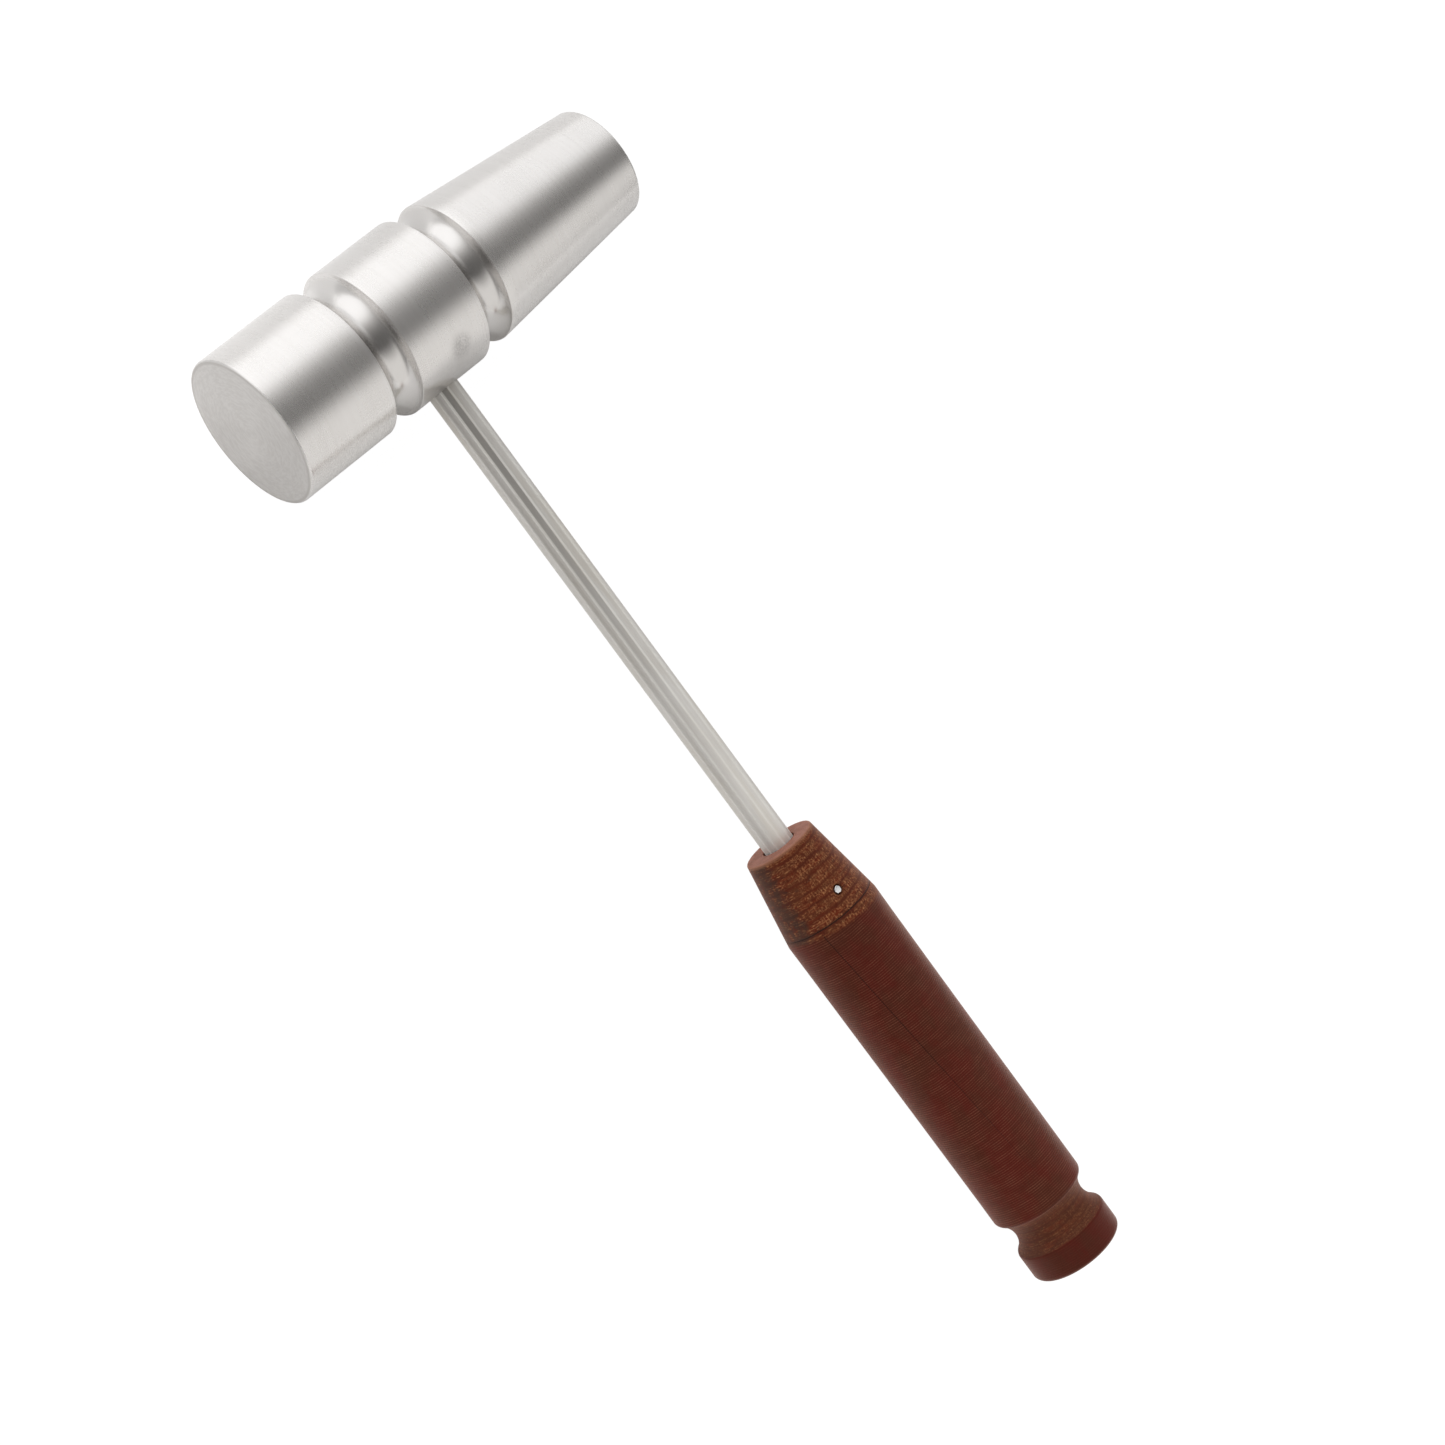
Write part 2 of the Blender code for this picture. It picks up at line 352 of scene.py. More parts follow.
# Head: colours, depth of the marks, and places in millimetres from its axis and large face
TURNED_LOW, TURNED_HIGH = (0.748, 0.728, 0.709), (0.797, 0.779, 0.762)
TURNED_COVE = (0.68, 0.663, 0.647)
# Colour of the painted shade on the side towards the handle
TURNED_PAINTED_SHADE = (0.30, 0.285, 0.272)
TURNED_SMUDGE = (0.25, 0.24, 0.235)
TURNED_RELIEF = 0.0009 * MM
FACE_LOW, FACE_HIGH = (0.735, 0.712, 0.690), (0.805, 0.785, 0.764)
FACE_RIM = (0.66, 0.635, 0.61)
BARREL_MIDDLE = 35.6
SMUDGE_X, SMUDGE_Y, SMUDGE_Z = 9.9, 37.2, 11.2


def turned_steel():
    """Satin steel with faint marks round the head's axis; the coves are brighter and smoother."""
    made, tree, shader = new_material("turned_satin_steel")
    x, y, z = place(tree, (HEAD_X, head_low.y, HEAD_Z))
    radius = ((x * x) + (z * z)).op("SQRT")
    around = (x * 0.04) + (z * 0.028)
    fine = noise(tree, vector(tree, radius * 5.0, y * 6.0, around), 1.0, 2.0, 0.5)
    broad = noise(tree, vector(tree, radius * 0.9, y * 1.3, around * 1.5), 1.0, 2.0, 0.5)
    cloud = noise(tree, vector(tree, x, y, z), 0.11, 3.0, 0.55)
    grain = noise(tree, vector(tree, x, y, z), 3.0, 2.0, 0.5)

    # Hollows between the cylinders, and the ground faces at the two ends
    first = (y - (FRONT_LENGTH + FRONT_COVE / 2) / MM).op("ABSOLUTE")
    second_middle = FRONT_LENGTH + FRONT_COVE + BARREL_LENGTH + REAR_COVE / 2
    second = (y - second_middle / MM).op("ABSOLUTE")
    hollow = first.op("MINIMUM", second).step(3.2, 2.9)
    length = HEAD_LENGTH / MM
    face = (y - length / 2).op("ABSOLUTE").step(length / 2 - 0.12, length / 2 - 0.04)

    # Painted shade: the side towards the handle is darkened, the barrel most of all and round the shaft's
    # joint, standing for the shadowed floor seen in reflection there
    angle = x.op("ARCTAN2", z)
    side = angle.step(0.62, 0.86) * angle.step(2.3, 1.75)
    barrel = (y - BARREL_MIDDLE).op("ABSOLUTE").step(8.7, 8.2)
    mottle = noise(tree, vector(tree, x, y, z), 1.3, 4.0, 0.7)
    from_shaft = y - (SHAFT_Y - head_low.y) / MM
    joint_shade = ((from_shaft * from_shaft) + (z * z * 0.8)).op("SQRT").step(13.0, 4.0)
    painted_shade = barrel * (joint_shade * 0.42 + 0.3) + (barrel.flip() * y.step(20.0, 60.0) * 0.2)
    painted_shade = side * painted_shade * (mottle.step(0.3, 0.7) * 0.14 + 0.85)
    mark_x, mark_y, mark_z = x - SMUDGE_X, y - SMUDGE_Y, z - SMUDGE_Z
    mark = (mark_x * mark_x) + (mark_y * mark_y * 1.2) + (mark_z * mark_z)
    specks = noise(tree, vector(tree, x, y * 1.3, z), 2.4, 3.0, 0.6)
    smudge = mark.op("SQRT").step(3.7, 0.8) * (specks.step(0.36, 0.62) * 0.65 + 0.35)

    tone = (fine * 0.25) + (broad * 0.35) + (cloud * 0.4)
    tint = blend(tree, tone.step(0.3, 0.7), TURNED_LOW, TURNED_HIGH)
    tint = blend(tree, hollow, tint, TURNED_COVE)
    rings = noise(tree, vector(tree, x * 0.7, z * 0.7, radius * 1.6), 1.0, 4.0, 0.65)
    face_tint = blend(tree, rings.step(0.36, 0.64), FACE_LOW, FACE_HIGH)
    face_tint = blend(tree, radius.step(14.0, 14.4), face_tint, FACE_RIM)
    tint = blend(tree, face, tint, face_tint)
    # Painted shade on the side towards the handle
    tint = blend(tree, painted_shade, tint, TURNED_PAINTED_SHADE)
    tint = blend(tree, smudge * 0.55, tint, TURNED_SMUDGE)
    tree.links.new(tint, shader.inputs["Base Color"])
    rough = (fine * 0.04) + (cloud * 0.05) + (grain * 0.03) + (smudge * 0.1) + 0.22
    rough = rough - (hollow * 0.05) + (face * 0.16)
    tree.links.new(rough.socket, shader.inputs["Roughness"])
    tree.links.new((hollow * 0.20 + 0.78).socket, shader.inputs["Metallic"])
    shader.inputs["Anisotropic"].default_value = 0.5
    shader.inputs["Anisotropic Rotation"].default_value = 0.25
    tangent = tree.nodes.new("ShaderNodeTangent")
    tangent.direction_type = "RADIAL"
    tangent.axis = "Y"
    tree.links.new(tangent.outputs[0], shader.inputs["Tangent"])
    height = (fine * 0.13) + (broad * 0.07) + (grain * 0.05)
    calm = angle.step(0.85, 1.15) * (barrel * -0.6 + 1.0)
    relief(tree, shader, height * (face * -0.6 + 1.0) * (calm * -0.8 + 1.0), TURNED_RELIEF)
    return made


# Shaft: colours, depth of the marks, and where round it the painted dark reflection and the painted shade
# lie
DRAWN_LOW, DRAWN_HIGH = (0.79, 0.762, 0.715), (0.88, 0.862, 0.827)
DRAWN_WARM = (0.76, 0.71, 0.615)
DRAWN_DARK_REFLECTION = (0.16, 0.145, 0.13)
DRAWN_RIDGE_HIGHLIGHT = (0.93, 0.91, 0.87)
DRAWN_SHADE = (0.42, 0.40, 0.37)
DRAWN_RELIEF = 0.0012 * MM
DARK_REFLECTION_UPPER = math.radians(23.5)
DARK_REFLECTION_BESIDE = math.radians(53.5)
SHADE_TURN = math.radians(78.0)


def drawn_steel():
    """Dull drawn bar: fine lines along it, and a painted dark reflection in the flutes that fades from the
    head.
    """
    made, tree, shader = new_material("drawn_fluted_steel")
    x, y, z = place(tree, (HEAD_X, SHAFT_Y, SHAFT_Z))
    lines = noise(tree, vector(tree, x * 0.06, y * 4.5, z * 4.5), 1.0, 3.0, 0.6)
    patches = noise(tree, vector(tree, x * 0.10, y * 0.35, z * 0.35), 1.0, 3.0, 0.6)
    grain = noise(tree, vector(tree, x, y, z), 3.5, 3.0, 0.6)

    turn = y.op("ARCTAN2", z)
    in_flute = ((turn - FLUTE_PHASE) * (FLUTES / (2 * math.pi))).op("FRACT") - 0.5
    deep = in_flute.op("ABSOLUTE").step(0.38, 0.29)
    # Painted dark reflection: the flute floors are darkened, most on the flute facing up and the one beside
    # it near the head, faintly everywhere else
    upper = (turn + DARK_REFLECTION_UPPER).op("ABSOLUTE").step(0.42, 0.2)
    beside = (turn + DARK_REFLECTION_BESIDE).op("ABSOLUTE").step(0.35, 0.15)
    near_head = x.step(112.0, 22.0)
    painted_dark_reflection = deep * (near_head * (upper * 0.58 + (beside * 0.2)) + 0.03)
    painted_dark_reflection = painted_dark_reflection * (patches * 0.5 + 0.75)

    tone = (lines * 0.4) + (patches * 0.45) + (grain * 0.15)
    tint = blend(tree, tone.step(0.34, 0.66), DRAWN_LOW, DRAWN_HIGH)
    warm = noise(tree, vector(tree, x * 0.05, y * 0.5, z * 0.5 + 7.0), 1.0, 2.0, 0.5).step(0.45, 0.7)
    tint = blend(tree, warm * 0.35, tint, DRAWN_WARM)
    # Painted dark reflection in the flutes
    tint = blend(tree, painted_dark_reflection, tint, DRAWN_DARK_REFLECTION)
    ridge = in_flute.op("ABSOLUTE").step(0.34, 0.47)
    # Painted highlight: the ridges between the flutes are lighter, as light caught on rounded ridges would
    # make them
    tint = blend(tree, ridge * 0.6, tint, DRAWN_RIDGE_HIGHLIGHT)
    left_end = x.step(20.0, 60.0) * (turn + SHADE_TURN).op("COSINE").step(0.4, 0.9)
    tint = blend(tree, left_end * 0.36, tint, DRAWN_SHADE)
    tree.links.new(tint, shader.inputs["Base Color"])
    rough = (lines * 0.1) + (patches * 0.1) + (grain * 0.1) + (ridge * 0.1) + 0.24
    tree.links.new(rough.socket, shader.inputs["Roughness"])
    tree.links.new((ridge * -0.22 + 0.42).socket, shader.inputs["Metallic"])
    relief(tree, shader, lines + grain, DRAWN_RELIEF)
    return made


PIN_LOW, PIN_HIGH = (0.74, 0.75, 0.76), (0.92, 0.93, 0.94)
PIN_RELIEF = 0.02 * MM


def pin_steel():
    """Cut and peened wire end: bright, with coarse file marks."""
    made, tree, shader = new_material("peened_pin_steel")
    x, y, z = place(tree, (PIN_X, SHAFT_Y, SHAFT_Z))
    marks = noise(tree, vector(tree, x * 1.2, y * 6.0, z), 1.0, 3.0, 0.6)
    dents = noise(tree, vector(tree, x, y, z), 2.2, 3.0, 0.6)
    tint = blend(tree, marks.step(0.3, 0.7), PIN_LOW, PIN_HIGH)
    tree.links.new(tint, shader.inputs["Base Color"])
    tree.links.new(((marks * 0.15) + (dents * 0.1) + 0.22).socket, shader.inputs["Roughness"])
    shader.inputs["Metallic"].default_value = 1.0
    relief(tree, shader, (marks * 0.5) + dents, PIN_RELIEF)
    return made


# ---------------------------------------------------------------- rolled cloth laminate


# Resin and cotton where they are cut, the moulded skin, and what lies on both
RESIN_LIGHT, RESIN_DARK = (0.128, 0.0185, 0.0052), (0.072, 0.0120, 0.0046)
COTTON_GROUND = (0.105, 0.029, 0.0105)
COTTON_YARN = (0.385, 0.165, 0.070)
PLY_LINE = (0.072, 0.0110, 0.0048)
GROOVE_CLOTH = (0.066, 0.025, 0.014)
NOSE_REFLECTION_LIGHT, NOSE_REFLECTION_DARK = (0.34, 0.145, 0.105), (0.25, 0.10, 0.068)
NOSE_RIM_HIGHLIGHT = (0.36, 0.17, 0.10)
SKIN_RED, SKIN_BROWN = (0.078, 0.0070, 0.0032), (0.062, 0.0120, 0.0050)
SKIN_THREAD = (0.205, 0.074, 0.044)
SKIN_KNOB = (0.050, 0.0075, 0.0045)
SKIN_WORN = (0.150, 0.058, 0.030)
DARK_PATCHES = (0.036, 0.022, 0.016)
GLUE_LINE = (0.014, 0.005, 0.004)
SEAM_DIRT = (0.016, 0.004, 0.004)
DUST = (0.24, 0.12, 0.07)

# Where the cuts lie, in millimetres from the nose and from the axis
CONE_BORDER = 17.1
BORDER_TURN = math.radians(50.0)
GROOVE_AT = 60.0
KNOB_AT = 91.0
GROOVE_CUT_RADIUS = (9.38, 9.22)


def cloth_laminate():
    """Cloth rolled in resin. The grip keeps its moulded skin; cuts below it show plies."""
    made, tree, shader = new_material("rolled_cloth_laminate")
    x, y, z = place(tree, (HANDLE_START, SHAFT_Y, SHAFT_Z))
    radius = ((y * y) + (z * z)).op("SQRT")
    turn = y.op("ARCTAN2", z)
    spot = vector(tree, x, y, z)
    wander = noise(tree, spot, 0.16, 2.0, 0.5) - 0.5
    wobble = noise(tree, spot, 0.8, 2.0, 0.5) - 0.5
    grain = noise(tree, vector(tree, x * 2.4, y * 1.6, z * 1.6), 1.0, 3.0, 0.6)

    # Where the tool has cut below the moulded skin: the cone, and the groove with the end face
    border = (turn - BORDER_TURN).op("COSINE") * 0.8 + CONE_BORDER + (wobble * 0.9)
    front_cut = (border - x + (grain * 0.8)).step(0.0, 1.1)
    rear_cut = (radius + (wobble * 0.15)).step(*GROOVE_CUT_RADIUS) * x.step(GROOVE_AT, GROOVE_AT + 1.0)
    is_cut = front_cut.op("MAXIMUM", rear_cut)

    # Plies: resin lines between them, and threads that show as dashes on a cut
    rise = (GRIP_RADIUS - NOSE_RADIUS) / CONE_LENGTH
    edge_radius = (NOSE_RADIUS + rise * PLY_EDGE) / MM
    spiral = turn * (PLY / MM / (2 * math.pi)) * 0.5
    ply_place = (radius - edge_radius + spiral + (wander * 0.22) + (wobble * 0.06)) / (PLY / MM)
    ply = ply_place.op("FLOOR")
    in_ply = ply_place.op("FRACT")
    resin_line = (in_ply - 0.5).op("ABSOLUTE").step(0.3, 0.5)
    glue = (radius - edge_radius + (wobble * 0.03)).op("ABSOLUTE").step(0.034, 0.008) * front_cut

    pitch = THREAD_PITCH / MM
    round_threads = ((x + (wander * 0.5)) * (2 * math.pi / pitch) + (ply * 2.1)).op("SINE")
    long_threads = ((turn * float(THREADS_ROUND)) + (ply * 1.7) + (wander * 3.0)).op("SINE")
    patchy = noise(tree, spot, 0.42, 3.0, 0.6)
    streaks = noise(tree, vector(tree, x * 1.5, turn * 1.6, radius * 0.5), 1.0, 3.0, 0.65)
    broken = noise(tree, vector(tree, x * 1.1, turn * 5.0, radius * 1.1), 1.0, 3.0, 0.65)

    # Cut plies: strokes along the handle in rows, turning into strokes round it at one side
    lengthwise = (turn + (wander * 0.8)).step(-0.95, -0.45)
    dashes = noise(tree, vector(tree, x * 2.2, turn * 27.0, radius * 4.0), 1.0, 2.0, 0.6)
    hoop_dashes = noise(tree, vector(tree, x * 4.5, turn * 12.0, radius * 4.0), 1.0, 2.0, 0.6)
    strokes = dashes.step(0.44, 0.66) * (long_threads * 0.3 + 0.7)
    hoops = hoop_dashes.step(0.46, 0.64) * (round_threads * 0.4 + 0.6)
    yarn = (strokes * lengthwise).op("MAXIMUM", hoops * (lengthwise * -0.5 + 1.0))
    yarn = yarn * (broken.step(0.34, 0.58) * 0.7 + 0.3) * (resin_line * -0.8 + 1.0)
    yarn = yarn * (rear_cut * -0.4 + 1.0)
    # Dark mottled patches, thick on the cut's side towards the large face and sparse everywhere else; the
    # ply lines are drawn darker on that side too
    large_face_side = (turn + (wobble * 0.5) + (wander * 0.4)).step(-0.85, -1.2)
    dark_patches = noise(tree, spot, 0.7, 4.0, 0.7).step(0.30, 0.52) * large_face_side * (rear_cut * -0.8 + 1.0)
    dark_patches = dark_patches.op("MAXIMUM", noise(tree, spot, 0.5, 4.0, 0.75).step(0.60, 0.70) * 0.6)

    cut_base = blend(tree, streaks.step(0.36, 0.62), RESIN_LIGHT, RESIN_DARK)
    cut_base = blend(tree, patchy.step(0.4, 0.66) * 0.7, cut_base, COTTON_GROUND)
    cut = blend(tree, yarn, cut_base, COTTON_YARN)
    cut = blend(tree, resin_line * (large_face_side * 0.35 + 0.5), cut, PLY_LINE)
    cut = blend(tree, rear_cut * 0.45, cut, GROOVE_CLOTH)
    # Dark mottled patches, mostly on the side towards the large face
    cut = blend(tree, dark_patches * 0.72, cut, DARK_PATCHES)
    cut = blend(tree, glue * 0.85, cut, GLUE_LINE)
    # Painted reflection: the nose's end face is painted a light pinkish brown, mottled
    nose_reflection_tint = blend(tree, patchy.step(0.36, 0.64), NOSE_REFLECTION_LIGHT, NOSE_REFLECTION_DARK)
    cut = blend(tree, x.step(0.25, 0.1) * 0.85, cut, nose_reflection_tint)
    # Painted highlight: a light line along the nose's rounded outer edge
    rim = x.step(0.75, 0.35) * radius.step(6.55, 6.95)
    cut = blend(tree, rim * 0.45, cut, NOSE_RIM_HIGHLIGHT)

    blotch = noise(tree, vector(tree, x * 0.5, y, z), 0.2, 4.0, 0.6)
    moulded = blend(tree, blotch.step(0.36, 0.64), SKIN_RED, SKIN_BROWN)
    threads = round_threads.step(0.05, 0.9) * (long_threads * 0.2 + 0.8)
    threads = threads * (streaks.step(0.38, 0.62) * 0.6 + 0.4) * (patchy.step(0.3, 0.6) * 0.5 + 0.5)
    knob = x.step(KNOB_AT, KNOB_AT + 1.0)
    threads = threads * (knob * -0.7 + 1.0)
    moulded = blend(tree, threads * 0.64, moulded, SKIN_THREAD)
    moulded = blend(tree, knob * 0.3, moulded, SKIN_KNOB)
    worn = (turn + (wander * 0.6)).step(0.45, 0.95) * (x + (wobble * 8.0)).step(46.0, 18.0)
    moulded = blend(tree, worn * 0.5, moulded, SKIN_WORN)
    weave = round_threads * (long_threads * 0.35 + 0.65) * 0.5 + 0.5
    colour = blend(tree, is_cut, moulded, cut)

    # Edge of the rolled sheet, with dirt in the seam
    seam = tree.nodes.new("ShaderNodeAttribute")
    seam.attribute_name = "seam"
    line = Field(tree, seam.outputs["Fac"])
    colour = blend(tree, line * 0.7, colour, SEAM_DIRT)

    dust = noise(tree, spot, 3.2, 2.0, 0.5).step(0.74, 0.82)
    colour = blend(tree, dust * 0.15, colour, DUST)
    tree.links.new(colour, shader.inputs["Base Color"])

    rough = (patchy * 0.1) + (is_cut * 0.12) + (grain * 0.06) + 0.28
    tree.links.new(rough.socket, shader.inputs["Roughness"])
    shader.inputs["IOR"].default_value = 1.5
    shader.inputs["Specular IOR Level"].default_value = 0.05
    shader.inputs["Sheen Weight"].default_value = 0.27
    shader.inputs["Sheen Roughness"].default_value = 0.5
    shader.inputs["Sheen Tint"].default_value = (1.0, 0.56, 0.44, 1.0)
    skin_height = (weave * 0.012) + (streaks * 0.02) + (patchy * 0.012)
    cut_height = (yarn * 0.014) - (resin_line * 0.012) + (grain * 0.01) - (glue * 0.06)
    height = (cut_height * is_cut) + (skin_height * is_cut.flip())
    relief(tree, shader, height, MM)
    return made


EPOXY_LOW, EPOXY_HIGH = (0.20, 0.13, 0.05), (0.36, 0.26, 0.12)
EPOXY_RELIEF = 0.05 * MM


def set_adhesive():
    """Cured epoxy: honey coloured, with bubbles."""
    made, tree, shader = new_material("cured_adhesive")
    x, y, z = place(tree, (HANDLE_START, SHAFT_Y, SHAFT_Z))
    spot = vector(tree, x, y, z)
    cloud = noise(tree, spot, 0.5, 3.0, 0.6)
    bubbles = noise(tree, spot, 3.0, 2.0, 0.5).step(0.62, 0.75)
    tint = blend(tree, cloud, EPOXY_LOW, EPOXY_HIGH)
    tree.links.new(tint, shader.inputs["Base Color"])
    tree.links.new(((cloud * 0.2) + 0.25).socket, shader.inputs["Roughness"])
    relief(tree, shader, bubbles, EPOXY_RELIEF)
    return made


# ---------------------------------------------------------------- pieces


def head_profile():
    """Outline of the turned head from the large face to the small one."""
    rim = HEAD_RADIUS - EDGE_BREAK
    points = [(0.0, HEAD_RADIUS * i / 6) for i in range(1, 6)]
    points += arc((FACE_EDGE, HEAD_RADIUS - FACE_EDGE), FACE_EDGE, math.pi, math.pi / 2, 10)
    points += stations((FACE_EDGE, HEAD_RADIUS), (FRONT_LENGTH - EDGE_BREAK, HEAD_RADIUS), 2 * MM)[1:]
    points += arc((FRONT_LENGTH - EDGE_BREAK, rim), EDGE_BREAK, math.pi / 2, 0, 6)
    barrel = FRONT_LENGTH + FRONT_COVE
    depth = COVE_DEPTH - EDGE_BREAK
    points += cove((FRONT_LENGTH, rim), (barrel, rim), depth, COVE_STEPS)[1:-1]
    points += arc((barrel + EDGE_BREAK, rim), EDGE_BREAK, math.pi, math.pi / 2, 6)
    end = barrel + BARREL_LENGTH
    points += stations((barrel + EDGE_BREAK, HEAD_RADIUS), (end - EDGE_BREAK, HEAD_RADIUS), 0.55 * MM)[1:]
    points += arc((end - EDGE_BREAK, rim), EDGE_BREAK, math.pi / 2, 0, 6)
    slope = (HEAD_RADIUS - SMALL_FACE_RADIUS) / (HEAD_LENGTH - end)
    taper = end + REAR_COVE
    taper_rim = HEAD_RADIUS - slope * REAR_COVE - EDGE_BREAK
    points += cove((end, rim), (taper, taper_rim), depth, COVE_STEPS)[1:-1]
    points += arc((taper + EDGE_BREAK, taper_rim), EDGE_BREAK, math.pi, math.pi / 2, 6)
    last = (HEAD_LENGTH - FACE_EDGE, SMALL_FACE_RADIUS - FACE_EDGE + slope * FACE_EDGE)
    taper_end = (last[0], last[1] + FACE_EDGE)
    points += stations((taper + EDGE_BREAK, taper_rim + EDGE_BREAK), taper_end, 2 * MM)[1:]
    points += arc(last, FACE_EDGE, math.pi / 2, 0, 10)
    points += [(HEAD_LENGTH, last[1] * i / 5) for i in range(4, 0, -1)]
    return points


def make_head(finish):
    rings = [head_ring(y, radius) for y, radius in head_profile()]
    head = skin("mallet_head", rings, finish, math.radians(40.0))
    turns = turns_of(BORE_STEPS)
    surface = HEAD_X + HEAD_RADIUS
    wide = SHAFT_RADIUS + BORE_PLAY
    bore = [
        shaft_ring(surface - SEAT_DEPTH - BORE_PAST_SEAT, wide, turns),
        shaft_ring(surface - BORE_LIP, wide, turns),
        shaft_ring(surface + 1 * MM, wide + BORE_FLARE, turns),
    ]
    cut_away(head, skin("bore_cutter", bore, finish, math.radians(40.0)))
    return head


def flute_section(steps):
    """Points (y, z) of the fluted bar: shallow hollows between narrow rounded ridges."""
    pitch = 2 * math.pi / FLUTES
    alpha = (pitch - FLUTE_LAND) / 2
    floor = SHAFT_RADIUS - FLUTE_DEPTH
    spread = (SHAFT_RADIUS**2 - floor**2) / (2 * (SHAFT_RADIUS * math.cos(alpha) - floor))
    hollow = spread - floor
    half = math.asin(SHAFT_RADIUS * math.sin(alpha) / hollow)
    points = []
    for k in range(FLUTES):
        middle = FLUTE_PHASE + (k + 0.5) * pitch
        for i in range(steps + 1):
            sweep = -half + 2 * half * i / steps
            along = spread - hollow * math.cos(sweep)
            across = hollow * math.sin(sweep)
            points.append((middle, along, across))
        ridge = middle + pitch / 2
        points.append((ridge, SHAFT_RADIUS, 0.0))
    section = []
    for middle, along, across in points:
        y = along * math.sin(middle) + across * math.cos(middle)
        z = along * math.cos(middle) - across * math.sin(middle)
        section.append((y, z))
    return section


def make_shaft(finish):
    section = flute_section(FLUTE_STEPS)
    turns = [math.atan2(y, z) for y, z in section]
    shoulder = HEAD_X + HEAD_RADIUS - SEAT_DEPTH
    fluted_end = HANDLE_START + FLUTED_IN_HANDLE

    rings = [
        shaft_ring(shaft_low.x, TANG_RADIUS - TANG_CHAMFER, turns),
        shaft_ring(shaft_low.x + TANG_CHAMFER, TANG_RADIUS, turns),
        shaft_ring(shoulder, TANG_RADIUS, turns),
    ]
    for i in range(SHAFT_RINGS + 1):
        x = shoulder + (fluted_end - shoulder) * i / SHAFT_RINGS
        rings.append([(x, SHAFT_Y + y, SHAFT_Z + z) for y, z in section])
    rings += [
        shaft_ring(fluted_end, TANG_RADIUS, turns),
        shaft_ring(shaft_high.x - TANG_CHAMFER, TANG_RADIUS, turns),
        shaft_ring(shaft_high.x, TANG_RADIUS - TANG_CHAMFER, turns),
    ]
    return skin("mallet_shaft", rings, finish, math.radians(24.0))


def handle_profile():
    """Outline (station from the nose, radius) of the handle, out of the bore and round to the end."""
    points = stations((MOUTH_DEPTH, MOUTH_RADIUS), (MOUTH_EDGE, MOUTH_RADIUS), 1.5 * MM)
    points += arc((MOUTH_EDGE, MOUTH_RADIUS + MOUTH_EDGE), MOUTH_EDGE, -math.pi / 2, -math.pi, 3)
    points += stations((0.0, MOUTH_RADIUS + MOUTH_EDGE), (0.0, NOSE_RADIUS - NOSE_EDGE), 0.5 * MM)[1:]
    points += arc((NOSE_EDGE, NOSE_RADIUS - NOSE_EDGE), NOSE_EDGE, math.pi, math.pi / 2, 6)
    crease = (CONE_LENGTH, GRIP_RADIUS)
    points += stations((NOSE_EDGE, NOSE_RADIUS), crease, 0.4 * MM)[1:]
    points += stations(crease, (GRIP_END - GRIP_END_ROUND, GRIP_RADIUS_REAR), 0.6 * MM)
    round_centre = (GRIP_END - GRIP_END_ROUND, GRIP_RADIUS_REAR - GRIP_END_ROUND)
    points += arc(round_centre, GRIP_END_ROUND, math.pi / 2, GROOVE_LEAD, 8)
    knob_start = GRIP_END + GROOVE_LENGTH
    knob_centre = (knob_start + KNOB_FRONT_ROUND, KNOB_RADIUS - KNOB_FRONT_ROUND)
    knob = arc(knob_centre, KNOB_FRONT_ROUND, math.pi - GROOVE_LEAD, math.pi / 2, 8)
    depth = (points[-1][1] + knob[0][1]) / 2 - (GRIP_RADIUS_REAR - GROOVE_DEPTH)
    points += cove(points[-1], knob[0], depth, COVE_STEPS)[1:-1]
    points += knob
    knob_end = (HANDLE_LENGTH - KNOB_END_ROUND, KNOB_RADIUS)
    points += stations(knob[-1], knob_end, 0.6 * MM)[1:]
    end_centre = (knob_end[0], KNOB_RADIUS - KNOB_END_ROUND)
    points += arc(end_centre, KNOB_END_ROUND, math.pi / 2, 0, 8)
    points += [(HANDLE_LENGTH, end_centre[1] * i / 6) for i in range(5, 0, -1)]
    return points


def handle_turns():
    """Angles from the seam, close together beside it and even elsewhere."""
    near = [0.0, 0.0065, 0.013, 0.026, 0.045]
    first = 0.07
    far = [first + (2 * math.pi - 2 * first) * i / GRIP_STEPS for i in range(GRIP_STEPS + 1)]
    return near + far + [2 * math.pi - a for a in reversed(near[1:])]


